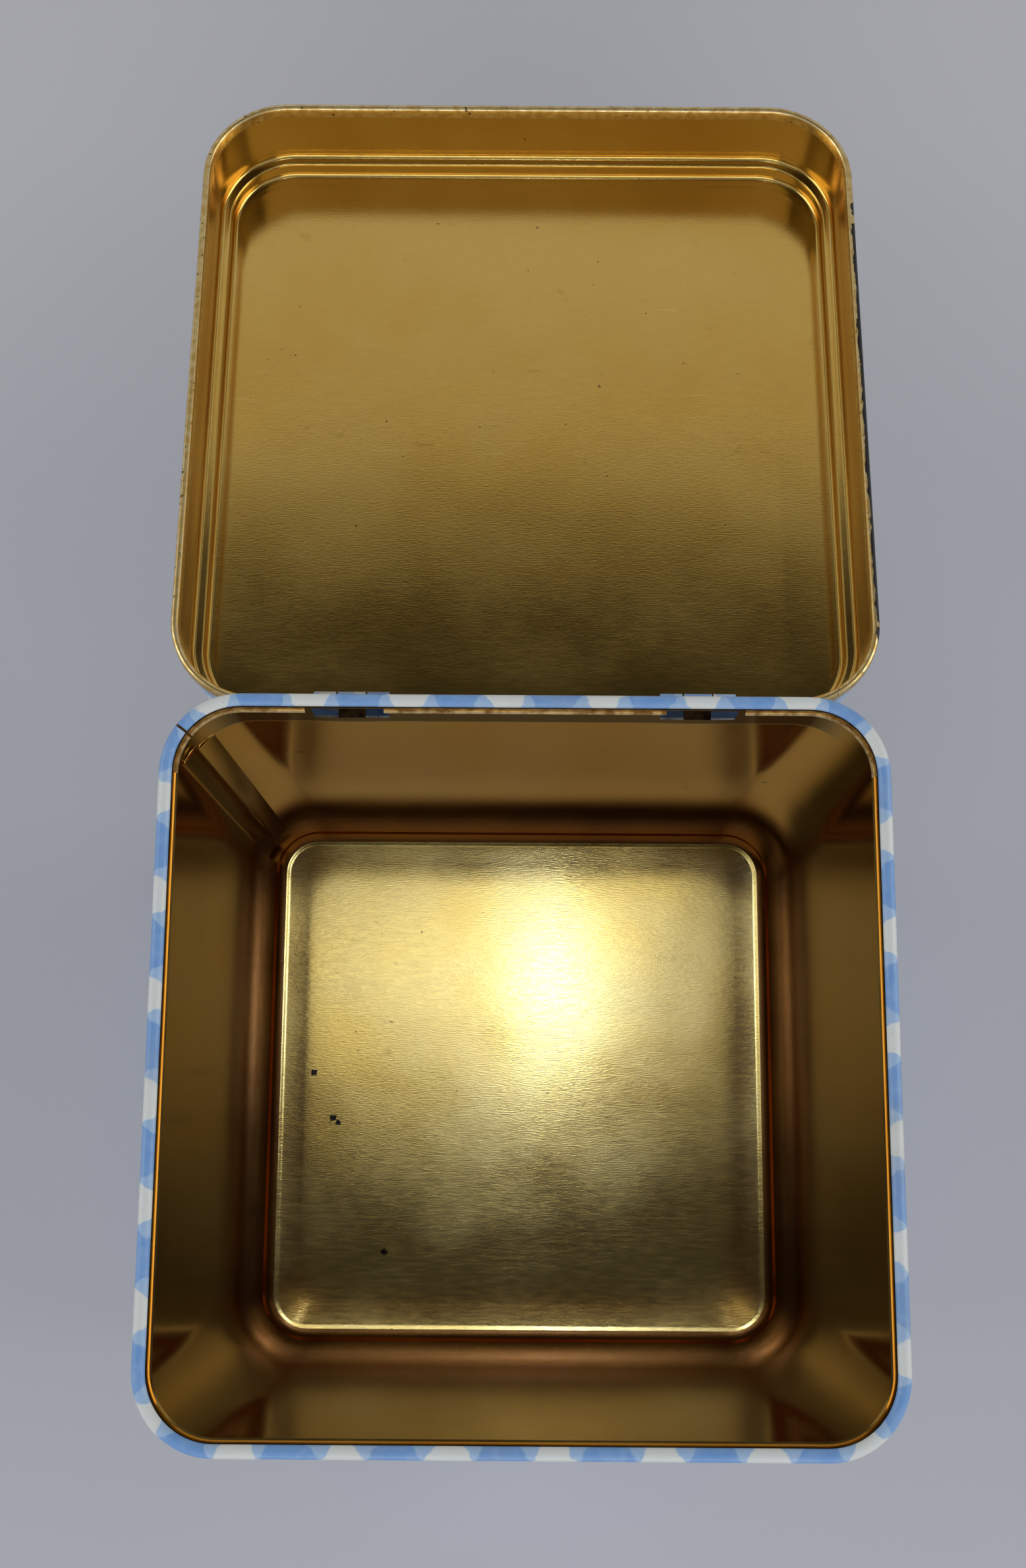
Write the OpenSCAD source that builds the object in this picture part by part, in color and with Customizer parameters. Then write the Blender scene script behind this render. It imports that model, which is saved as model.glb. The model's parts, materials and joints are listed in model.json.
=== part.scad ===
// Square tinplate box with a hinged slip lid, shown with the lid laid right back.
// The origin is on the standing plane, straight below the hinge line.
// +Z is up. The box stands on the -Y side and the opened lid lies out over +Y.

/* [Box] */
// Width and depth of the box over its rolled rim
box_w = 110; // [80:1:160]
// Height of the box, from the standing plane to the top of the rim
box_h = 113; // [60:1:180]
// Outer radius of the upright corners
corner_r = 12; // [9:0.5:16]
// Thickness of the tinplate
sheet_t = 0.3; // [0.2:0.05:0.4]

/* [Rim] */
// Diameter of the roll along the top edge
rim_d = 2.1; // [1.8:0.1:3]
// Depth of the straight lip that hangs from the inner side of the roll
lip_h = 1.4; // [0.8:0.1:2.5]
// How far the lip leans in at its lower edge
lip_lean = 0.5; // [0.1:0.1:1]

/* [Bottom] */
// Width of the flat ring that the box stands on, measured in from the wall
ring_w = 2.6; // [1.5:0.1:5]
// How far the floor is raised above the ring
floor_rise = 1.8; // [0.8:0.1:3]
// Width of the slope between the ring and the floor
slope_w = 0.8; // [0.4:0.1:2]
// How far the bottom seam stands out from the wall
seam_out = 1.3; // [1.1:0.1:2]
// Height of the bottom seam
seam_h = 3; // [2:0.1:5]

/* [Side seam] */
// Width of the folded seam that closes the wall in one corner
side_seam_w = 3.4; // [2:0.1:5]
// How far the folded seam stands in from the wall
side_seam_t = 0.5; // [0.3:0.05:0.8]
// Where the seam lies round the corner, in degrees on from the left side
side_seam_angle = 27; // [15:1:75]
// Distance of the seam's notched upper end below the top of the rim
side_seam_drop = 14; // [6:1:25]

/* [Lid] */
// Clear gap between the rim and the skirt, which the swing of the lid needs
lid_gap = 1.4; // [1.2:0.1:2]
// Inside depth of the skirt, from its edge to the ledge that rests on the rim
skirt_depth = 13; // [8:0.5:15]
// Height of the folded hem on the skirt's edge
hem_h = 2.2; // [1.5:0.1:4]
// How far the hem stands out from the skirt
hem_out = 1; // [0.6:0.1:1.4]
// Width of the ledge that steps in above the skirt
ledge_w = 1.9; // [0.8:0.1:3]
// Height of the narrower top above the ledge
top_h = 3; // [2:0.1:6]
// Radius of the edges where the lid's faces turn
edge_r = 1.1; // [0.8:0.1:1.6]
// Room that is left between the ledge and the rim when the lid is shut
seat_gap = 0.25; // [0.1:0.05:0.5]

/* [Hinges] */
// Width of each of the two hinges
hinge_w = 12; // [9:0.5:20]
// Distance between the middles of the hinges
hinge_spacing = 55; // [30:1:70]
// Width of the knuckle that is part of the box
box_knuckle_w = 4.4; // [3:0.1:6]
// Diameter of the hinge wire
wire_d = 1.5; // [1.2:0.1:1.8]
// Running gap round the wire
wire_gap = 0.05; // [0.02:0.01:0.1]
// Side gap between two knuckles
knuckle_gap = 0.3; // [0.2:0.05:0.6]
// Height of the window that the box knuckle's tongue was cut from
window_h = 6; // [4:0.5:9]
// How far the lid is laid back, from shut
open_angle = 187; // [90:0.5:190]

/* [Hidden] */
$fn = 64;

// Overrun of a cut past a face
overrun = 1;
// Height of the shut lid's edge above the knuckles
hem_gap = 0.25;
// Clearance between the bottom seam and the wall inside it
seam_gap = 0.05;
// How far the wall's foot flange stands out inside the bottom seam
flange_out = 0.6;
// Radius of the seam's outer edges
seam_r = 0.6;

half_w = box_w / 2;
rim_r = rim_d / 2;
wire_r = wire_d / 2;
knuckle_in_r = wire_r + wire_gap;
knuckle_r = knuckle_in_r + sheet_t;
lid_knuckle_w = (hinge_w - box_knuckle_w) / 2 - knuckle_gap;

// The lid's knuckles curl straight on from its skirt, which sets the hinge line behind the wall
hinge_reach = lid_gap + knuckle_r;

// Lid sizes at its outer faces; heights are measured up from the hinge line, lid shut
skirt_half = half_w + lid_gap + sheet_t;
skirt_r = corner_r + lid_gap + sheet_t;
edge_z = knuckle_r + hem_gap;
ledge_z = edge_z + skirt_depth + sheet_t;
panel_z = ledge_z + top_h;
top_r = skirt_r - ledge_w;

// The ledge rests on the rim, which sets the height of the hinge line
hinge_z = box_h + seat_gap + sheet_t - ledge_z;
box_y = -(half_w + hinge_reach);
window_low = hinge_z - knuckle_in_r;

// Carries a flat profile round a square with rounded corners. The square is 2 * half wide at
// the profile's x = r, and x is measured out from the corner's centre. The profile's y is height.
module around(half, r) {
    side = 2 * (half - r);
    for (quarter = [0:3]) rotate([0, 0, 90 * quarter]) {
        translate([half - r, half - r, 0]) rotate_extrude(angle = 90) children();
        translate([half - r, half - r, 0]) rotate([90, 0, 0]) linear_extrude(side) children();
    }
}

// Quarter of a bent sheet, outer radius r, from angle start to start + 90
module bend(r, start) {
    rotate(start) intersection() {
        difference() {
            circle(r);
            circle(r - sheet_t);
        }
        square(r);
    }
}

module wall_profile() {
    // Upright wall, which stands on the bottom plate
    translate([corner_r - sheet_t, sheet_t]) square([sheet_t, box_h - rim_r - sheet_t]);
    // Foot flange, which the bottom seam is folded over
    translate([corner_r - sheet_t, sheet_t]) square([sheet_t + flange_out, sheet_t]);
    // Roll, over the top and down on the inside
    translate([corner_r - rim_r, box_h - rim_r]) {
        bend(rim_r, 0);
        bend(rim_r, 90);
        // Lip, left straight below the roll
        polygon([
            [-rim_r, 0],
            [-rim_r + sheet_t, 0],
            [-rim_r + sheet_t - lip_lean, -lip_h],
            [-rim_r - lip_lean, -lip_h]
        ]);
    }
}

// What is cut from the wall at one hinge: the window and a length of the lip
module hinge_cuts(x) {
    translate([x - hinge_w / 2, half_w - sheet_t - overrun, window_low])
        cube([hinge_w, sheet_t + 2 * overrun, window_h]);
    translate([x - hinge_w / 2, half_w - rim_d - lip_lean - overrun, box_h - rim_r - lip_h - overrun])
        cube([hinge_w, lip_lean + sheet_t + overrun, lip_h + overrun]);
}

// Folded seam inside the rear left corner, set square to the corner's radius
module side_seam() {
    inner = corner_r - sheet_t - side_seam_t;
    bottom = seam_h + sheet_t;
    translate([-(half_w - corner_r), half_w - corner_r, bottom]) rotate(180 - side_seam_angle)
        translate([inner, -side_seam_w / 2, 0])
            cube([side_seam_t + sheet_t / 2, side_seam_w, box_h - side_seam_drop - bottom]);
}

// One curled knuckle, w wide, on the hinge line
module knuckle(x, w) {
    translate([x - w / 2, 0, 0]) rotate([90, 0, 90]) linear_extrude(w) difference() {
        circle(knuckle_r);
        circle(knuckle_in_r);
    }
}

// Knuckle of the box, with the tongue that carries it out of the window's lower edge
module box_knuckle(x) {
    knuckle(x, box_knuckle_w);
    translate([x - box_knuckle_w / 2, -hinge_reach - sheet_t, -knuckle_r])
        cube([box_knuckle_w, hinge_reach + sheet_t, sheet_t]);
}

module body_wall() color("steelblue") {
    translate([0, box_y, 0]) {
        difference() {
            around(half_w, corner_r) wall_profile();
            for (side = [-1, 1]) hinge_cuts(side * hinge_spacing / 2);
        }
        side_seam();
    }
    translate([0, 0, hinge_z]) for (side = [-1, 1]) box_knuckle(side * hinge_spacing / 2);
}

module bottom_profile() {
    slope_x = corner_r - sheet_t - ring_w;
    seam_x = corner_r + seam_out - seam_r;
    // Ring and slope
    polygon([
        [0, floor_rise], [slope_x - slope_w, floor_rise], [slope_x, 0], [seam_x, 0],
        [seam_x, sheet_t], [slope_x + sheet_t / 2, sheet_t],
        [slope_x - slope_w + sheet_t / 2, floor_rise + sheet_t], [0, floor_rise + sheet_t]
    ]);
    // Seam, rolled up outside the wall and in over its foot flange
    translate([seam_x, seam_r]) bend(seam_r, 270);
    translate([seam_x + seam_r - sheet_t, seam_r]) square([sheet_t, seam_h - 2 * seam_r]);
    translate([seam_x, seam_h - seam_r]) bend(seam_r, 0);
    translate([corner_r + seam_gap, seam_h - sheet_t])
        square([seam_x - corner_r - seam_gap, sheet_t]);
}

module bottom_plate() color("goldenrod") translate([0, box_y, 0]) {
    side = box_w - 2 * corner_r;
    around(half_w, corner_r) bottom_profile();
    translate([-side / 2, -side / 2, floor_rise]) cube([side, side, sheet_t]);
}

module lid_profile() {
    neck_x = top_r - edge_r;
    // Skirt and the hem that is folded out on its edge
    translate([skirt_r - sheet_t, edge_z]) square([sheet_t, skirt_depth + sheet_t - edge_r]);
    hem_half_t = (hem_out + sheet_t) / 2;
    translate([skirt_r - sheet_t + hem_half_t, edge_z + hem_half_t]) circle(hem_half_t);
    translate([skirt_r - sheet_t, edge_z + hem_half_t]) square([2 * hem_half_t, hem_h - hem_half_t]);
    // Shoulder and ledge
    translate([skirt_r - edge_r, ledge_z - edge_r]) bend(edge_r, 0);
    translate([top_r - sheet_t, ledge_z - sheet_t]) square([skirt_r - edge_r - top_r + sheet_t, sheet_t]);
    // Neck above the ledge, turned in to the panel
    translate([top_r - sheet_t, ledge_z - sheet_t]) square([sheet_t, top_h - edge_r + sheet_t]);
    translate([neck_x, panel_z - edge_r]) bend(edge_r, 0);
    translate([0, panel_z - sheet_t]) square([neck_x, sheet_t]);
}

// Knuckle of the lid, curled from the tongue that comes straight down from the skirt
module lid_knuckle(x) {
    knuckle(x, lid_knuckle_w);
    translate([x - lid_knuckle_w / 2, -knuckle_r, 0])
        cube([lid_knuckle_w, sheet_t, edge_z + hem_h]);
}

module lid() color("goldenrod") translate([0, 0, hinge_z]) rotate([-open_angle, 0, 0]) {
    side = 2 * (skirt_half - skirt_r);
    translate([0, box_y, 0]) {
        around(skirt_half, skirt_r) lid_profile();
        translate([-side / 2, -side / 2, panel_z - sheet_t]) cube([side, side, sheet_t]);
    }
    for (side = [-1, 1], end = [-1, 1])
        lid_knuckle(side * hinge_spacing / 2 + end * (hinge_w - lid_knuckle_w) / 2);
}

// Steel wire through the three knuckles of one hinge
module hinge_wire(side) color("silver")
    translate([side * hinge_spacing / 2 - hinge_w / 2, 0, hinge_z])
        rotate([0, 90, 0]) cylinder(h = hinge_w, r = wire_r);

module hinge_wire_left() hinge_wire(-1);
module hinge_wire_right() hinge_wire(1);

body_wall();
bottom_plate();
lid();
hinge_wire_left();
hinge_wire_right();
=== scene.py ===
import json
import math

import bmesh
import bpy
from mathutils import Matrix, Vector


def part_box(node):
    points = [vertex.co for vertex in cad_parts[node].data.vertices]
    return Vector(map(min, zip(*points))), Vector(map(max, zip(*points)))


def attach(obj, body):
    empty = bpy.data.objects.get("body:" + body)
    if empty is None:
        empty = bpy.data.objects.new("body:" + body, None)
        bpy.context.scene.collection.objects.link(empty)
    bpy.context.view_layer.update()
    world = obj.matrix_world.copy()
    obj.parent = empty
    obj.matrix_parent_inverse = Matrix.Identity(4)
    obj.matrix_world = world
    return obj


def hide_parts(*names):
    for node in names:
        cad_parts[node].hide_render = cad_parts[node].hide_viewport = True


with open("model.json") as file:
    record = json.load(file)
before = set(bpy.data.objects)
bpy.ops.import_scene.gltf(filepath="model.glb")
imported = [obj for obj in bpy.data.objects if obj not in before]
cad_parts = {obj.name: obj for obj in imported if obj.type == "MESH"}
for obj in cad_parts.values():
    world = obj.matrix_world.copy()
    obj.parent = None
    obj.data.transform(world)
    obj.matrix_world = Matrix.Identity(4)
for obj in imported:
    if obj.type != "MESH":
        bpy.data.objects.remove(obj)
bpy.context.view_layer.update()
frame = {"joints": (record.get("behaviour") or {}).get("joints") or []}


# Body wall. One sheet of tinplate, printed outside and lacquered gold inside, is bent round into
# a square with rounded corners. Its ends are folded together in the rear left corner, its foot is
# flanged out, and its top edge is rolled inwards, so that the print runs over the rim.
MM = 0.001
wall_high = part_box("body_wall")[1]
plate_low, plate_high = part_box("bottom_plate")
hinge_z = frame["joints"][0]["pos_m"][2]
sheet_t = 0.3 * MM
corner_r = 12 * MM
rim_r = 1.05 * MM
lip_h = 1.4 * MM
lip_end_h = 0.08 * MM
lip_lean = 0.5 * MM
flange_out = 0.6 * MM
half_w = wall_high.x - flange_out
box_y = (plate_low.y + plate_high.y) / 2
box_h = wall_high.z
roll_z = box_h - rim_r
hinge_w = 12 * MM
hinge_x = 27.5 * MM
hinge_band = 5 * MM
knuckle_r = 1.1 * MM
box_knuckle_w = 4.4 * MM
window_low = hinge_z - knuckle_r
window_h = 6 * MM
curl_turn = math.radians(285)
seam_angle = math.radians(36)
crack_w = 0.4 * MM
hair = 0.01 * MM
smooth_angle = math.radians(35)
corner_steps = 16
turn_steps = 8


def new_sheet(name, half, radius, height, face_up=True):
    """A flat blank with rounded corners, left in edit mode with its one face selected."""
    bpy.ops.object.select_all(action="DESELECT")
    bpy.ops.mesh.primitive_plane_add(size=2 * half)
    blank = bpy.context.object
    blank.name = blank.data.name = name
    bpy.ops.object.mode_set(mode="EDIT")
    bpy.ops.transform.translate(value=(0, 0, height))
    bpy.ops.mesh.bevel(affect="VERTICES", offset=radius, segments=corner_steps)
    bpy.ops.mesh.select_all(action="SELECT")
    if not face_up:
        bpy.ops.mesh.flip_normals()
    return blank


def press(step_in, on):
    """Moves the selected face in by step_in and on along its normal, and leaves sheet behind it."""
    bpy.ops.mesh.inset(thickness=step_in, depth=on, use_even_offset=True)


def press_bend(radius, start, end, steps=turn_steps):
    """Presses a round bend, from one angle of its circle to another: 0 is outwards, 90 is on."""
    turn = math.radians(end - start) / steps
    for i in range(steps):
        a = math.radians(start) + turn * i
        b = a + turn
        press(radius * (math.cos(a) - math.cos(b)), radius * (math.sin(b) - math.sin(a)))


def select_faces(sheet, test):
    """Selects the faces whose middle and normal pass the test."""
    bpy.ops.mesh.select_mode(type="FACE")
    bpy.ops.mesh.select_all(action="DESELECT")
    bm = bmesh.from_edit_mesh(sheet.data)
    for face in bm.faces:
        face.select_set(test(face.calc_center_median(), face.normal))
    bmesh.update_edit_mesh(sheet.data)


def select_edges(sheet, test):
    """Selects the edges that have both ends where the test holds."""
    bpy.ops.mesh.select_mode(type="EDGE")
    bpy.ops.mesh.select_all(action="DESELECT")
    bm = bmesh.from_edit_mesh(sheet.data)
    for edge in bm.edges:
        edge.select_set(all(test(v.co) for v in edge.verts))
    bmesh.update_edit_mesh(sheet.data)


def cut_out(sheet, x, cuts, band, hole):
    """Cuts the band upright at the distances from x, then takes out the faces of the hole."""
    for cut in cuts:
        select_faces(sheet, band)
        bpy.ops.mesh.bisect(plane_co=(x + cut, 0, 0), plane_no=(1, 0, 0))
    select_faces(sheet, lambda c, n: abs(c.x - x) < hinge_w / 2 and hole(c))
    bpy.ops.mesh.delete(type="FACE")


def curl(sheet, x, width, root, on, hinge_at, turn):
    """Draws a tongue, width wide, on from the edge at root and curls it round the hinge line."""
    select_edges(sheet, lambda c: abs(c.x - x) < width / 2 + hair and abs(c.y - root[0]) < hair
                 and abs(c.z - root[1]) < hair)
    bpy.ops.mesh.extrude_edges_move(TRANSFORM_OT_translate={"value": (0, *on)})
    bpy.ops.mesh.spin(steps=2 * turn_steps, angle=turn, axis=(1, 0, 0),
                      center=(x, -box_y, hinge_at))


def pick(sheet):
    """Makes this the one selected and active object, in object mode."""
    if bpy.context.object and bpy.context.object.mode == "EDIT":
        bpy.ops.object.mode_set(mode="OBJECT")
    bpy.ops.object.select_all(action="DESELECT")
    bpy.context.view_layer.objects.active = sheet
    sheet.select_set(True)


def perimeter(c, half, radius):
    """Distance round a square with rounded corners, from the middle of its right side."""
    straight = half - radius
    side = round(math.atan2(c.y, c.x) / (math.pi / 2))
    turn = -side * math.pi / 2
    out = c.x * math.cos(turn) - c.y * math.sin(turn)
    on = c.x * math.sin(turn) + c.y * math.cos(turn)
    along = max(-straight, min(straight, on))
    if abs(on) > straight:
        along += math.copysign(radius * math.atan2(abs(on) - straight, out - straight), on)
    return side * (2 * straight + radius * math.pi / 2) + along


def reach(c, half, radius):
    """How far out a point lies, as the half width of the outline through it."""
    straight = half - radius
    x, y = abs(c.x), abs(c.y)
    if min(x, y) < straight:
        return max(x, y)
    return straight + math.hypot(x - straight, y - straight)


def unroll(sheet, half, radius, start, along_sheet, flat=None):
    """Gives a UV map in metres: U round the piece and V along the sheet, or X and Y on the flat."""
    pick(sheet)
    whole = 8 * (half - radius) + 2 * math.pi * radius
    sheet.data.uv_layers[0].name = "sheet"
    coordinates = sheet.data.uv_layers[0].data
    for face in sheet.data.polygons:
        corners = [sheet.data.vertices[i].co for i in face.vertices]
        if flat and all(flat(c) for c in corners):
            places = [(c.x, c.y) for c in corners]
        else:
            lengths = [(perimeter(c, half, radius) - start) % whole for c in corners]
            if max(lengths) - min(lengths) > whole / 2:
                lengths = [u + whole if u < whole / 2 else u for u in lengths]
            places = [(u, along_sheet(c)) for u, c in zip(lengths, corners)]
        for loop, place in zip(face.loop_indices, places):
            coordinates[loop].uv = place


def thicken(sheet, *finishes):
    """Gives a sheet its thickness, and a finish each on its face, its back and its cut edge."""
    for finish in finishes:
        sheet.data.materials.append(finish)
    pick(sheet)
    solid = sheet.modifiers.new("sheet", "SOLIDIFY")
    solid.thickness = sheet_t
    solid.offset = -1
    solid.use_even_offset = True
    solid.material_offset = 1
    solid.material_offset_rim = 2
    bpy.ops.object.modifier_apply(modifier=solid.name)


def add_node(finish, kind, inputs=None, **settings):
    """Adds a shader node, with its inputs set or linked, and returns it."""
    node = finish.node_tree.nodes.new("ShaderNode" + kind)
    for name, value in settings.items():
        setattr(node, name, value)
    for name, value in (inputs or {}).items():
        if isinstance(value, bpy.types.NodeSocket):
            finish.node_tree.links.new(value, node.inputs[name])
        else:
            node.inputs[name].default_value = value
    return node


def maths(finish, operation, a, b=0.0):
    """One sum on one or two values."""
    return add_node(finish, "Math", {0: a, 1: b}, operation=operation).outputs[0]


def span(finish, value, low, high, to_low=0.0, to_high=1.0):
    """Maps low..high softly to the new range, and holds its ends."""
    ends = {"Value": value, "From Min": low, "From Max": high, "To Min": to_low, "To Max": to_high}
    return add_node(finish, "MapRange", ends, interpolation_type="SMOOTHSTEP").outputs[0]


def distance(finish, place, point):
    """How far a place is from the point."""
    measure = add_node(finish, "VectorMath", {0: place, 1: point}, operation="DISTANCE")
    return measure.outputs["Value"]


def bump(finish, height, depth, strength=1.0, under=None, invert=False):
    """A normal raised by the height, on top of the normal under it."""
    raised = {"Height": height, "Strength": strength, "Distance": depth}
    if under:
        raised["Normal"] = under
    return add_node(finish, "Bump", raised, invert=invert).outputs[0]


def mottle(finish, place, scale, detail, offset=(0, 0, 0), warp=0.0, stretch=(1, 1, 1)):
    """Soft noise. Stretch multiplies the scale along each axis."""
    moved = add_node(finish, "Mapping", {"Vector": place, "Location": offset, "Scale": stretch})
    return add_node(finish, "TexNoise", {"Vector": moved.outputs[0], "Scale": scale,
                                         "Detail": detail, "Distortion": warp}).outputs[0]


def blend(finish, factor, a, b):
    """Mixes two colours."""
    mix = add_node(finish, "Mix", data_type="RGBA")
    for i, value in ((0, factor), (6, a), (7, b)):
        if isinstance(value, bpy.types.NodeSocket):
            finish.node_tree.links.new(value, mix.inputs[i])
        else:
            mix.inputs[i].default_value = value
    return mix.outputs[2]


def new_finish(name, **constants):
    """A material with one Principled shader. The constants are set on the shader itself."""
    finish = bpy.data.materials.new(name)
    finish.use_nodes = True
    shader = finish.node_tree.nodes["Principled BSDF"]
    for socket, value in constants.items():
        shader.inputs[socket.replace("_", " ")].default_value = value
    return finish, shader


def join_to(finish, shader, **sockets):
    """Links the shader's named inputs to these sources."""
    for name, source in sockets.items():
        finish.node_tree.links.new(source, shader.inputs[name.replace("_", " ")])


def colour(red, green, blue):
    """A screen colour as the shader's linear numbers."""
    return tuple((v / 255 / 12.92) if v < 11 else ((v / 255 + 0.055) / 1.055) ** 2.4
                 for v in (red, green, blue)) + (1.0,)


def chips(finish, place, spots):
    """Ragged chips in the lacquer. Each spot is a place and a radius, in millimetres."""
    fray = 1.4 * MM
    noise = add_node(finish, "TexNoise", {"Vector": place, "Scale": 1400.0, "Detail": 5.0})
    terms = {0: noise.outputs["Color"], 1: (fray, fray, fray), 2: place}
    moved = add_node(finish, "VectorMath", terms, operation="MULTIPLY_ADD").outputs[0]
    found = 0.0
    for x, y, z, radius in spots:
        away = distance(finish, moved, [v * MM + fray / 2 for v in (x, y, z)])
        chip = span(finish, away, 0.8 * radius * MM, radius * MM, 1, 0)
        found = maths(finish, "MAXIMUM", found, chip)
    return found


def gold_lacquer(name, wear, gloss, thin, thick, spots=(), depth=0.006, dish=0.0, shade_low=1.0):
    """Gold lacquer over bright tinplate, with rolling grain, thin and thick places and fine marks.

    Spots are its larger chips and depth is the grain's, in millimetres. Dish is how fast a hollow
    in it gets steeper. Above the height in its last argument, the rear is painted dark as shade.
    """
    coat, sheen = 0.6, 0.5
    rear, shade_fade, shade_cover = (-7 * MM, -3 * MM), 1.4 * MM, 0.95
    finish, shader = new_finish(name, Metallic=1.0, Anisotropic=0.4, Anisotropic_Rotation=0.25,
                                Coat_Weight=coat, Coat_Roughness=0.16, Coat_IOR=1.5,
                                Specular_Tint=(0.76, 0.62, 0.42, 1.0))
    place = add_node(finish, "TexCoord").outputs["Object"]
    sheet = add_node(finish, "UVMap", uv_map="sheet").outputs[0]
    tangent = add_node(finish, "Tangent", direction_type="UV_MAP", uv_map="sheet").outputs[0]
    grain = mottle(finish, sheet, 800, 3, stretch=(1, 5.5, 1))
    broad_grain = mottle(finish, sheet, 500, 4, (3, 1, 0), stretch=(0.5, 3, 1))
    clouds = mottle(finish, place, 38, 5, (1, 2, 3))
    smears = span(finish, mottle(finish, place, 260, 6, (5, 2, 1), 0.6), 0.66, 0.76)
    specks = span(finish, mottle(finish, place, 800, 2, (2, 6, 4)), 0.76, 0.785)
    scratch_at = add_node(finish, "Mapping", {"Vector": sheet, "Rotation": (0, 0, 0.9),
                                              "Scale": (0.03, 1, 1)}).outputs[0]
    scratches = add_node(finish, "TexNoise", {"Vector": scratch_at, "Scale": 2600.0, "Detail": 1.0,
                                              "Distortion": 0.1}).outputs[0]
    scratched = maths(finish, "MULTIPLY", span(finish, scratches, 0.7, 0.74),
                      span(finish, mottle(finish, place, 30, 2, (7, 7, 7)), 0.55, 0.65))
    base = blend(finish, span(finish, clouds, 0.3, 0.7), thick, thin)
    base = blend(finish, span(finish, grain, 0.4, 0.7, 0, 0.12), base, colour(176, 132, 62))
    for mark, share, shade in ((smears, 0.16, colour(150, 108, 52)),
                               (scratched, 0.5, colour(226, 196, 138)),
                               (specks, 0.85, colour(38, 27, 14))):
        base = blend(finish, maths(finish, "MULTIPLY", mark, share * wear), base, shade)
    base = blend(finish, chips(finish, place, spots), base, colour(30, 20, 12))
    parts = add_node(finish, "SeparateXYZ", {0: place}).outputs
    # Painted shade under the rim: at the rear, above the given height, dark brown with less shine.
    painted_shade = maths(finish, "MULTIPLY", span(finish, parts[1], *rear),
                  span(finish, parts[2], shade_low, shade_low + shade_fade, 0, shade_cover))
    base = blend(finish, painted_shade, base, colour(48, 28, 13))
    rough = maths(finish, "ADD", span(finish, broad_grain, 0.3, 0.7, gloss - 0.01, gloss + 0.02),
                  span(finish, clouds, 0.35, 0.7, 0, 0.04))
    rough = maths(finish, "ADD", rough, maths(finish, "MULTIPLY", smears, 0.04 * wear))
    hollow = bump(finish, mottle(finish, place, 24, 2, (4, 8, 2)), 0.1 * MM)
    if dish:
        bowl = maths(finish, "POWER", distance(finish, place, (0, box_y, 0)), 2)
        hollow = bump(finish, bowl, dish, under=hollow)
    bright = maths(finish, "SUBTRACT", 1.0, painted_shade)
    join_to(finish, shader, Base_Color=base, Roughness=rough, Tangent=tangent, Coat_Normal=hollow,
            Normal=bump(finish, grain, depth * MM, under=hollow), Metallic=bright,
            Coat_Weight=maths(finish, "MULTIPLY", bright, coat),
            Specular_IOR_Level=maths(finish, "MULTIPLY", bright, sheen))
    return finish


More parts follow.
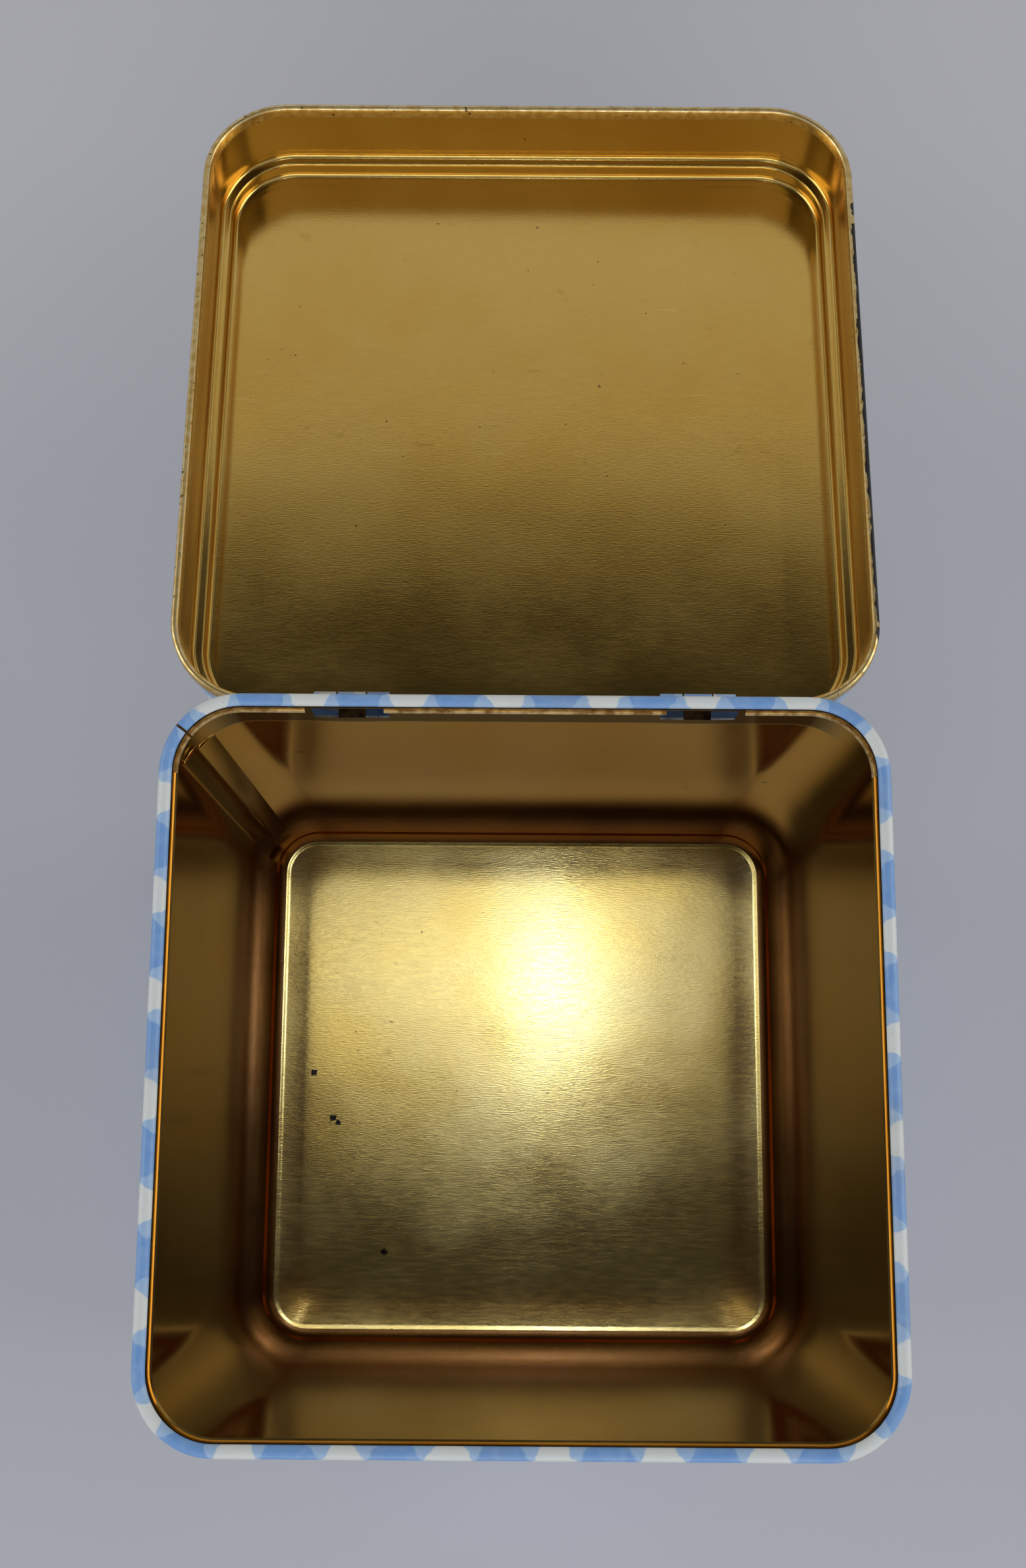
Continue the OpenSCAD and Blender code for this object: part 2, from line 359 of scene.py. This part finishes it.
def gingham_print(name, hinge_shade_reach):
    """Woven check in washed blue on a white ground, printed slantwise and varnished.

    Painted shade darkens it near the hinges, within the reach it is given, but not on the right
    knuckles.
    """
    period, first, blue_share, slant = 14.85 * MM, 368 * MM, 0.56, 0.49
    soft, tatter = 0.25 * MM, 3 * MM
    hinge_shade_half, hinge_shade_cover, unshaded_knuckle_reach = 5 * MM, 0.45, 2 * MM
    finish, shader = new_finish(name, Metallic=0.0, Specular_IOR_Level=0.35, Coat_Weight=0.35,
                                Coat_Roughness=0.3, Coat_IOR=1.45)
    place = add_node(finish, "TexCoord").outputs["Object"]
    sheet = add_node(finish, "UVMap", uv_map="sheet").outputs[0]
    parts = add_node(finish, "SeparateXYZ", {0: sheet}).outputs
    up = maths(finish, "MULTIPLY", maths(finish, "SUBTRACT", parts[1], roll_z), slant)
    wash = mottle(finish, sheet, 260, 5, (2, 3, 0))
    ragged = maths(finish, "MULTIPLY", maths(finish, "SUBTRACT", wash, 0.5), tatter)
    stripes = []
    for way in ("ADD", "SUBTRACT"):
        across = maths(finish, "SUBTRACT", maths(finish, way, parts[0], up), first)
        apart = maths(finish, "PINGPONG", across, period / 2)
        edge = (1 - blue_share) * period / 2
        stripes.append(span(finish, maths(finish, "ADD", apart, ragged), edge - soft, edge + soft))
    pigment = mottle(finish, sheet, 420, 6, (8, 1, 0))
    pigment = span(finish, pigment, 0.25, 0.75, 0.78, 1.0)
    inked = maths(finish, "MULTIPLY", maths(finish, "ADD", *stripes), pigment)
    base = blend(finish, span(finish, inked, 0, 1), colour(210, 214, 208), colour(150, 180, 211))
    base = blend(finish, span(finish, inked, 1, 2), base, colour(108, 152, 204))
    grubby = span(finish, mottle(finish, place, 60, 7, (9, 4, 1)), 0.55, 0.75, 0, 0.25)
    base = blend(finish, grubby, base, colour(152, 146, 126))
    specks = span(finish, mottle(finish, place, 900, 5, (3, 3, 9)), 0.74, 0.77)
    base = blend(finish, specks, base, colour(70, 66, 58))
    # Painted shade round the hinges: dark brown, fading away from the hinge line, left off the
    # right knuckles.
    at = add_node(finish, "SeparateXYZ", {0: place}).outputs
    beside = maths(finish, "SUBTRACT", maths(finish, "ABSOLUTE", at[0]), hinge_x)
    beside = maths(finish, "ABSOLUTE", beside)
    flat = add_node(finish, "CombineXYZ", {1: at[1], 2: at[2]}).outputs[0]
    away = distance(finish, flat, (0, 0, hinge_z))
    hinge_shade = maths(finish, "MULTIPLY", span(finish, beside, hinge_shade_half, 1.5 * hinge_shade_half, 1, 0),
                  span(finish, away, 0.4 * hinge_shade_reach, hinge_shade_reach, hinge_shade_cover, 0))
    unshaded_knuckles = maths(finish, "MULTIPLY", span(finish, away, 0.75 * unshaded_knuckle_reach, unshaded_knuckle_reach, 1, 0),
                  span(finish, at[0], 0, MM))
    hinge_shade = maths(finish, "MULTIPLY", hinge_shade, maths(finish, "SUBTRACT", 1.0, unshaded_knuckles))
    base = blend(finish, hinge_shade, base, colour(58, 38, 20))
    rough = span(finish, mottle(finish, place, 90, 5, (1, 9, 6)), 0.3, 0.7, 0.4, 0.55)
    dents = bump(finish, mottle(finish, place, 24, 2, (4, 8, 2)), 0.5 * MM)
    film = bump(finish, wash, 0.01 * MM, 0.3, dents)
    join_to(finish, shader, Base_Color=base, Roughness=rough, Normal=film, Coat_Normal=dents)
    return finish


def bare_steel(name, light, dark, gloss):
    """Bare metal, dulled and spotted."""
    finish, shader = new_finish(name, Metallic=1.0)
    place = add_node(finish, "TexCoord").outputs["Object"]
    spots = mottle(finish, place, 700, 7, (1, 5, 2))
    base = blend(finish, span(finish, spots, 0.35, 0.7), light, dark)
    brushed = mottle(finish, place, 400, 5, (6, 1, 1), stretch=(0.2, 1, 1))
    rough = span(finish, brushed, 0.3, 0.7, gloss, gloss + 0.2)
    join_to(finish, shader, Base_Color=base, Roughness=rough,
            Normal=bump(finish, spots, 0.02 * MM, 0.4))
    return finish


check_print = gingham_print("tin_check_print", 5 * MM)
wall_chips = ((31.2, -2.8, 40.6, 0.75), (39.5, -2.8, 34.1, 0.6), (45.3, -2.8, 47.5, 0.75),
              (-39.1, -2.8, 71.1, 0.9))
# The wall's gold gets painted shade at the rear, above 94.3 mm, under the rim.
wall_gold = gold_lacquer("tin_gold_wall", 0.6, 0.12, colour(204, 166, 82), colour(194, 150, 62),
                         wall_chips, shade_low=94.3 * MM)
cut_steel = bare_steel("tin_cut_steel", colour(150, 146, 138), colour(88, 82, 74), 0.3)
# Bare pale tin for the lip, painted paler still as a highlight; it is used along the rear only.
lip_lit_gold = bare_steel("tin_lip_lit_gold", colour(222, 196, 138), colour(150, 116, 62), 0.34)
# A dark dull gold: painted shade for the recess under the roll and the tongues behind the windows.
shaded_gold = bare_steel("tin_shaded_gold", colour(60, 43, 24), colour(28, 19, 11), 0.4)

wall = new_sheet("tin_wall", half_w + flange_out, corner_r + flange_out, 2 * sheet_t)
press(flange_out, 0)
press(0, window_low - 2 * sheet_t)
press(0, window_h)
press(0, roll_z - window_low - window_h)
press_bend(rim_r, 0, 180, 2 * turn_steps)
press(0.4 * lip_lean, lip_end_h - lip_h)
press(0.6 * lip_lean, -lip_end_h)
bpy.ops.mesh.delete(type="ONLY_FACE")
for side in (-1, 1):
    cut_out(wall, side * hinge_x,
            (-hinge_w / 2, -box_knuckle_w / 2, box_knuckle_w / 2, hinge_w / 2),
            lambda c, n: c.y > half_w - hinge_band and abs(c.x) < half_w - corner_r,
            lambda c: c.y > half_w - hair and window_low < c.z < window_low + window_h
            or half_w - hinge_band < c.y < half_w - rim_r and roll_z - lip_h < c.z < roll_z)

# The side seam leaves a fine open crack across the roll, where the two ends of the sheet meet.
seam_corner = Vector((-(half_w - corner_r), half_w - corner_r, 0))
seam_across = Vector((math.sin(seam_angle), math.cos(seam_angle), 0))


def near_side_seam(c):
    """True inside the rear left corner."""
    return c.x < seam_corner.x and c.y > seam_corner.y


for offset in (-crack_w / 2, crack_w / 2):
    select_faces(wall, lambda c, n: near_side_seam(c) and c.z > window_low + window_h)
    bpy.ops.mesh.bisect(plane_co=seam_corner + seam_across * offset, plane_no=seam_across)
select_faces(wall, lambda c, n: near_side_seam(c) and c.z > roll_z - lip_h
             and abs((c - seam_corner).dot(seam_across)) < crack_w / 2)
bpy.ops.mesh.delete(type="FACE")

# A tongue is left standing at the foot of each window, bent out and curled up round the hinge wire.
for side in (-1, 1):
    curl(wall, side * hinge_x, box_knuckle_w, (half_w, window_low), (-box_y - half_w, 0), hinge_z,
         -curl_turn)


def along_wall(c):
    """Height up the wall, then on over the roll and down the lip."""
    out = reach(c, half_w, corner_r)
    if c.z > roll_z:
        return roll_z + rim_r * math.atan2(c.z - roll_z, out - half_w + rim_r)
    return c.z if out > half_w - rim_r else 2 * roll_z + math.pi * rim_r - c.z


quarter = 2 * (half_w - corner_r) + corner_r * math.pi / 2
seam_place = quarter + half_w - corner_r + corner_r * (math.pi / 2 - seam_angle)
unroll(wall, half_w, corner_r, seam_place, along_wall)
thicken(wall, check_print, wall_gold, cut_steel)

# The lip along the rear is bare pale tin, painted paler there as a highlight. The roll's last
# run before it, and the gold side of the tongues, are painted dark as shade.
for finish in (lip_lit_gold, shaded_gold):
    wall.data.materials.append(finish)
GOLD, LIP, SHADED = 1, 3, 4
for face in wall.data.polygons:
    out = reach(face.center, half_w, corner_r)
    if face.center.z < roll_z and out < half_w - 2 * rim_r + sheet_t / 2 + hair:
        face.material_index = LIP if face.center.y > half_w - corner_r else GOLD
    if face.center.y > half_w + sheet_t and face.material_index == GOLD:
        face.material_index = SHADED
    if roll_z < face.center.z < roll_z + 0.4 * rim_r and out < half_w - 1.9 * rim_r:
        face.material_index = SHADED

# Folded side seam: a flat lock with a notched top, and beside it the sheet's other end, set lower.
seam_low = plate_high.z + sheet_t
seam_top = box_h - 14 * MM
tip_h = 1.6 * MM
tip_end_h = 0.6 * MM
tip_taper = 0.45
tip_shift = (0.12 * MM, 0.35 * MM, 0)
fold_r = 0.11 * MM
for name, angle, width, proud, top in (("lock", 27, 3.4 * MM, 0.5 * MM, seam_top),
                                       ("lap", 45, 3.5 * MM, 0.28 * MM, seam_top - 3 * MM)):
    bpy.ops.object.select_all(action="DESELECT")
    inner = corner_r - sheet_t - proud
    thick = proud + sheet_t / 2
    bpy.ops.mesh.primitive_cube_add(size=1, location=(inner + thick / 2, 0, (seam_low + top) / 2),
                                    scale=(thick, width, top - seam_low))
    strip = bpy.context.object
    strip.name = "seam_" + name
    bpy.ops.object.transform_apply(location=True, rotation=True, scale=True)
    bpy.ops.object.mode_set(mode="EDIT")
    for level in (top - tip_h, top - tip_end_h):
        bpy.ops.mesh.select_all(action="SELECT")
        bpy.ops.mesh.bisect(plane_co=(0, 0, level), plane_no=(0, 0, 1))
    select_faces(strip, lambda c, n: n.z > 0.9)
    bpy.ops.transform.resize(value=(1, tip_taper, 1))
    bpy.ops.transform.translate(value=tip_shift)
    select_edges(strip, lambda c: c.x < inner + 2 * fold_r)
    bpy.ops.mesh.bevel(offset=fold_r, segments=3, affect="EDGES")
    bpy.ops.mesh.select_all(action="SELECT")
    bpy.ops.transform.rotate(value=-math.radians(180 - angle), orient_axis="Z",
                             center_override=(0, 0, 0))
    bpy.ops.transform.translate(value=seam_corner)
    bpy.ops.object.mode_set(mode="OBJECT")
    strip.data.uv_layers[0].name = "sheet"
    for finish in (check_print, wall_gold):
        strip.data.materials.append(finish)
    for face in strip.data.polygons:
        face.material_index = GOLD
        for loop in face.loop_indices:
            c = strip.data.vertices[strip.data.loops[loop].vertex_index].co
            strip.data.uv_layers[0].data[loop].uv = (perimeter(c, half_w, corner_r), c.z)
    pick(strip)
    wall.select_set(True)
    bpy.context.view_layer.objects.active = wall
    bpy.ops.object.join()

wall.location.y = box_y
pick(wall)
bpy.ops.object.transform_apply(location=True, rotation=True, scale=True)
bpy.ops.object.shade_smooth_by_angle(angle=smooth_angle)
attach(wall, "box")
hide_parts("body_wall")


# Bottom plate. A pressed square of tinplate, gold on both sides, with a raised floor. Its edge is
# rolled up and in over the foot flange of the wall, which makes the seam that the box stands on.
seam_half = plate_high.x
seam_round = 0.6 * MM
seam_gap = 0.05 * MM
ring_half = half_w - sheet_t - 2.6 * MM
slope_w = 0.8 * MM
floor_rise = 1.8 * MM
edge_w = 0.3 * MM
edge_dip = 0.06 * MM
floor_edge_w = 1.2 * MM
floor_dips = ((0.4, 0.05), (0.6, 0.03), (3.7, -0.05))
floor_chips = ((-42.8, -56.2, 2.1, 0.75), (-38.6, -65.4, 2.1, 0.75), (-37.6, -66.4, 2.1, 0.65),
               (-27.6, -92.2, 2.1, 0.7))
plate_gold = gold_lacquer("tin_gold_floor", 0.7, 0.09, colour(214, 188, 112), colour(204, 172, 88),
                          floor_chips, 0.007, 0.26)
# A darker gold, painted shade for the groove round the floor and the seam.
shaded_seam_gold = gold_lacquer("tin_gold_seam_shaded", 1.0, 0.16, colour(146, 104, 44), colour(118, 80, 32))


def press_floor(dips):
    """Presses slight rings into the flat middle. Each has its step in and its dip, in mm."""
    for step_in, dip in dips:
        press(step_in * MM, dip * MM)


plate = new_sheet("tin_bottom", seam_half, corner_r + seam_half - half_w, plate_high.z / 2, False)
press(0, plate_high.z / 2 - seam_round)
press_bend(seam_round, 0, 90)
press(seam_half - seam_round - ring_half - edge_w, 0)
press(edge_w, -edge_dip)
press(slope_w, 2 * edge_dip - floor_rise)
press(edge_w, -edge_dip)
press(floor_edge_w, 0)
press_floor(floor_dips)
pick(plate)
upper = new_sheet("tin_bottom_seam", seam_half, corner_r + seam_half - half_w, plate_high.z / 2)
press(0, plate_high.z / 2 - seam_round)
press_bend(seam_round, 0, 90)
press(seam_half - seam_round - half_w - seam_gap, 0)
bpy.ops.mesh.delete(type="ONLY_FACE")
pick(plate)
upper.select_set(True)
bpy.ops.object.join()
bpy.ops.object.mode_set(mode="EDIT")
bpy.ops.mesh.select_all(action="SELECT")
bpy.ops.mesh.remove_doubles(threshold=hair / 10)
unroll(plate, half_w, corner_r, seam_place, lambda c: c.z - reach(c, half_w, corner_r),
       lambda c: reach(c, half_w, corner_r) < ring_half - slope_w + hair)
thicken(plate, plate_gold, plate_gold, cut_steel)

# Everything outside the flat floor is painted a darker gold, a painted shade for the groove round
# it.
plate.data.materials.append(shaded_seam_gold)
STEEL, SHADED_SEAM = 2, 3
for face in plate.data.polygons:
    out = reach(face.center, half_w, corner_r)
    if out > ring_half - slope_w - floor_edge_w and face.material_index != STEEL:
        face.material_index = SHADED_SEAM
plate.location.y = box_y
pick(plate)
bpy.ops.object.transform_apply(location=True, rotation=True, scale=True)
bpy.ops.object.shade_smooth_by_angle(angle=smooth_angle)
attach(plate, "box")
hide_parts("bottom_plate")


# Hinge wires. A short straight length of drawn steel wire goes through the three knuckles of each
# hinge. The box's knuckle grips it, and the lid's two knuckles turn on it.
drawn_wire, shader = new_finish("tin_drawn_wire", Metallic=1.0)
place = add_node(drawn_wire, "TexCoord").outputs["Object"]
draw_lines = mottle(drawn_wire, place, 2200, 4, stretch=(0.04, 1, 1))
tarnish = mottle(drawn_wire, place, 500, 6, (3, 1, 2))
join_to(drawn_wire, shader,
        Base_Color=blend(drawn_wire, span(drawn_wire, tarnish, 0.4, 0.7), colour(176, 174, 170),
                         colour(104, 94, 82)),
        Roughness=span(drawn_wire, draw_lines, 0.3, 0.7, 0.25, 0.5),
        Normal=bump(drawn_wire, draw_lines, 0.01 * MM, 0.5))
for name in ("hinge_wire_left", "hinge_wire_right"):
    for slot in bpy.data.objects[name].material_slots:
        slot.material = drawn_wire


# Lid. A square of tinplate is pressed into a shallow tray, gold inside and printed outside. Its
# skirt slips over the rim, the ledge rests on it, and the edge is folded out into a round hem.
# Two pairs of tongues run on from the skirt and are curled round the hinge wires.
open_angle = math.radians(frame["joints"][0]["range_deg"][1])
hem_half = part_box("lid")[1].x
hem_r = 0.65 * MM
hem_top = 3.55 * MM
hem_edge = 1.35 * MM
hem_step = 0.15 * MM
skirt_half = hem_half - 2 * hem_r
skirt_corner = corner_r + skirt_half - half_w
ledge_z = 14.35 * MM
panel_z = 17.35 * MM
neck_half = 54.5 * MM
bend_r = 0.8 * MM
neck_r = 0.4 * MM
lid_knuckle_w = 3.5 * MM
panel_dips = ((0.8, 0.05), (1.5, 0.05), (6, -0.06))


def worn_hem(name):
    """The lacquer of the bead, rubbed pale on its crest and flaked off in ragged dark patches.

    Most of it is lost on the outside of the right run, up to flaked_end.
    """
    flaked_end, flaked_fade = 84 * MM, 14 * MM
    finish, shader = new_finish(name, Metallic=1.0, Coat_Weight=0.3, Coat_Roughness=0.3)
    place = add_node(finish, "TexCoord").outputs["Object"]
    at = add_node(finish, "SeparateXYZ", {0: place}).outputs
    side = span(finish, at[0], skirt_half + 0.3 * hem_r, skirt_half + 1.5 * hem_r, 0, 0.5)
    along = span(finish, at[1], flaked_end, flaked_end + flaked_fade, 1, 0)
    outer = maths(finish, "MULTIPLY", side, along)
    ragged = mottle(finish, place, 300, 8, (2, 7, 4), 0.4)
    ragged = maths(finish, "MULTIPLY", ragged, 1.3)
    areas = maths(finish, "MULTIPLY", mottle(finish, place, 60, 2, (6, 1, 3)), 0.3)
    lost = maths(finish, "ADD", maths(finish, "ADD", ragged, outer), areas)
    lost = span(finish, lost, 1.06, 1.09)
    nicks = span(finish, mottle(finish, place, 1100, 3, (1, 1, 5)), 0.66, 0.7)
    crest = mottle(finish, place, 700, 5, (4, 4, 1))
    base = blend(finish, span(finish, crest, 0.35, 0.65), colour(214, 190, 132),
                 colour(190, 156, 88))
    base = blend(finish, nicks, base, colour(84, 68, 44))
    base = blend(finish, lost, base, colour(44, 42, 40))
    rough = maths(finish, "ADD", span(finish, crest, 0.3, 0.7, 0.26, 0.4),
                  maths(finish, "MULTIPLY", lost, 0.25))
    join_to(finish, shader, Base_Color=base, Roughness=rough,
            Normal=bump(finish, lost, 0.03 * MM, 0.8, invert=True))
    return finish


hem_gold = worn_hem("tin_gold_hem")
lid_gold = gold_lacquer("tin_gold_lid", 0.8, 0.11, colour(206, 170, 84), colour(196, 156, 66),
                        depth=0.009)
lid_print = gingham_print("tin_check_lid", 10 * MM)

lid = new_sheet("tin_lid", hem_half, corner_r + hem_half - half_w, hem_top, False)
press(0, hem_top - hem_edge - hem_r)
press_bend(hem_r, 0, 180)
press(0, hem_edge + hem_r - hem_top)
press(0, hem_top + bend_r - ledge_z)
press_bend(bend_r, 0, -90)
press(skirt_half - bend_r - neck_half - neck_r, 0)
press_bend(neck_r, 90, 180, 4)
press(0, ledge_z + neck_r + bend_r - panel_z)
press_bend(bend_r, 0, -90)
press_floor(panel_dips)
for side in (-1, 1):
    x = side * hinge_x
    cut_out(lid, x,
            (-hinge_w / 2, lid_knuckle_w - hinge_w / 2, hinge_w / 2 - lid_knuckle_w, hinge_w / 2),
            lambda c, n: c.y > skirt_half - hair and abs(c.x) < skirt_half - skirt_corner,
            lambda c: c.y > skirt_half - hair and c.z < hem_top)
    for end in (-1, 1):
        curl(lid, x + end * (hinge_w - lid_knuckle_w) / 2, lid_knuckle_w, (skirt_half, hem_top),
             (0, -hem_top), 0, -curl_turn)

# The hem's free edge turns in again to the skirt, which closes the bead.
for level, out, shrink in ((hem_top, hem_half - 3 * hair, 0.1 * MM),
                           (hem_top + hem_step, skirt_half + hem_r, 0.6 * MM)):
    select_edges(lid, lambda c: abs(c.z - level) < hair
                 and reach(c, skirt_half, skirt_corner) > out)
    size = 1 - shrink / hem_half
    bpy.ops.mesh.extrude_edges_move(TRANSFORM_OT_translate={"value": (0, 0, hem_step)})
    bpy.ops.transform.resize(value=(size, size, 1), center_override=(0, 0, 0))
unroll(lid, skirt_half, skirt_corner, 0, lambda c: c.z - reach(c, skirt_half, skirt_corner),
       lambda c: reach(c, skirt_half, skirt_corner) < neck_half and c.z > ledge_z)
thicken(lid, lid_gold, lid_print, cut_steel)

# The bead is worn. The print runs on from the outside of the skirt over both sides of the tongues.
lid.data.materials.append(hem_gold)
INSIDE, PRINT, HEM = 0, 1, 3
for face in lid.data.polygons:
    if face.material_index == INSIDE and face.center.z < hem_top + 2 * hem_step:
        face.material_index = PRINT if face.center.z < hem_edge - hair else HEM
pick(lid)
lid.location = (0, box_y, 0)
bpy.ops.object.transform_apply(location=True, rotation=True, scale=True)
lid.location = (0, 0, hinge_z)
lid.rotation_euler.x = -open_angle
bpy.ops.object.transform_apply(location=True, rotation=True, scale=True)
bpy.ops.object.shade_smooth_by_angle(angle=smooth_angle)
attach(lid, "lid")
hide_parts("lid")


# Camera, held above the box by the photographer and tilted a little towards the lid.
bpy.ops.object.camera_add(location=(-1.25 * MM, -65.95 * MM, 368.76 * MM),
                          rotation=(0.19136, 0.00064, 0.00695))
camera = bpy.context.object
camera.data.lens = 40.01
camera.data.sensor_width = 36
bpy.context.scene.camera = camera


# Floor. A plain pale sheet under the open tin.
bpy.ops.object.select_all(action="DESELECT")
bpy.ops.mesh.primitive_plane_add(size=4)
ground = bpy.context.object
ground.name = "studio_floor"
pale, shader = new_finish("studio_pale", Roughness=0.7)
place = add_node(pale, "TexCoord").outputs["Object"]
join_to(pale, shader,
        Base_Color=blend(pale, mottle(pale, place, 6, 3), colour(188, 188, 190),
                         colour(196, 195, 198)),
        Roughness=span(pale, mottle(pale, place, 900, 4), 0.3, 0.7, 0.6, 0.8))
ground.data.materials.append(pale)


# Light. Soft panels round a plain studio: a small bright one, a wide one and a dim one overhead,
# one behind the camera, one beyond the lid, and one at each side and in front for the outside of
# the tin. The room is pale low down and dark straight overhead.
def soft_panel(name, across, beyond, half_angles, level, tint=(1, 1, 1), away=3.0,
               shape="RECTANGLE"):
    """A panel that faces the tin. Its place and half size are in degrees from straight up."""
    bpy.ops.object.light_add(type="AREA")
    lamp = bpy.context.object
    lamp.name = name
    lamp.data.shape = shape
    lamp.data.color = tint
    lamp.data.size, lamp.data.size_y = (2 * away * math.tan(math.radians(v)) for v in half_angles)
    lamp.data.energy = level * math.pi * lamp.data.size * lamp.data.size_y
    way = Vector((math.tan(math.radians(across)), math.tan(math.radians(beyond)), 1)).normalized()
    lamp.location = way * away + Vector((0, box_y, 0))
    lamp.rotation_euler = way.to_track_quat("Z", "Y").to_euler()


soft_panel("lamp_core", 1.1, 3.7, (0.6, 0.95), 18.0, (0.72, 0.95, 1.6), 2.9)
soft_panel("lamp_over", -0.4, 4.6, (5.6, 2.8), 1.3, (0.9, 1.0, 1.15), shape="ELLIPSE")
soft_panel("lamp_ceiling", 0, 6, (15, 5.6), 0.3, away=3.1)
soft_panel("lamp_behind", 0, -27, (36, 16), 0.45, (0.95, 1.0, 1.4))
for name, across, beyond, half_angles, level in (
        ("lamp_beyond", 0, 51, (26, 16), 0.4), ("lamp_right", 62, 10, (18, 18), 2.6),
        ("lamp_left", -62, 10, (18, 18), 2.1), ("lamp_front", 0, -64, (18, 16), 2.2)):
    soft_panel(name, across, beyond, half_angles, level)
world = bpy.data.worlds.new("studio_room")
bpy.context.scene.world = world
world.use_nodes = True
way = add_node(world, "TexCoord").outputs["Generated"]
height = add_node(world, "SeparateXYZ", {0: way}).outputs[2]
room = blend(world, span(world, height, 0.2, 0.6), colour(205, 206, 208), colour(132, 132, 134))
room = blend(world, span(world, height, 0.79, 0.87), room, colour(54, 54, 56))
world.node_tree.links.new(room, world.node_tree.nodes["Background"].inputs["Color"])
bpy.context.scene.view_settings.view_transform = "Standard"
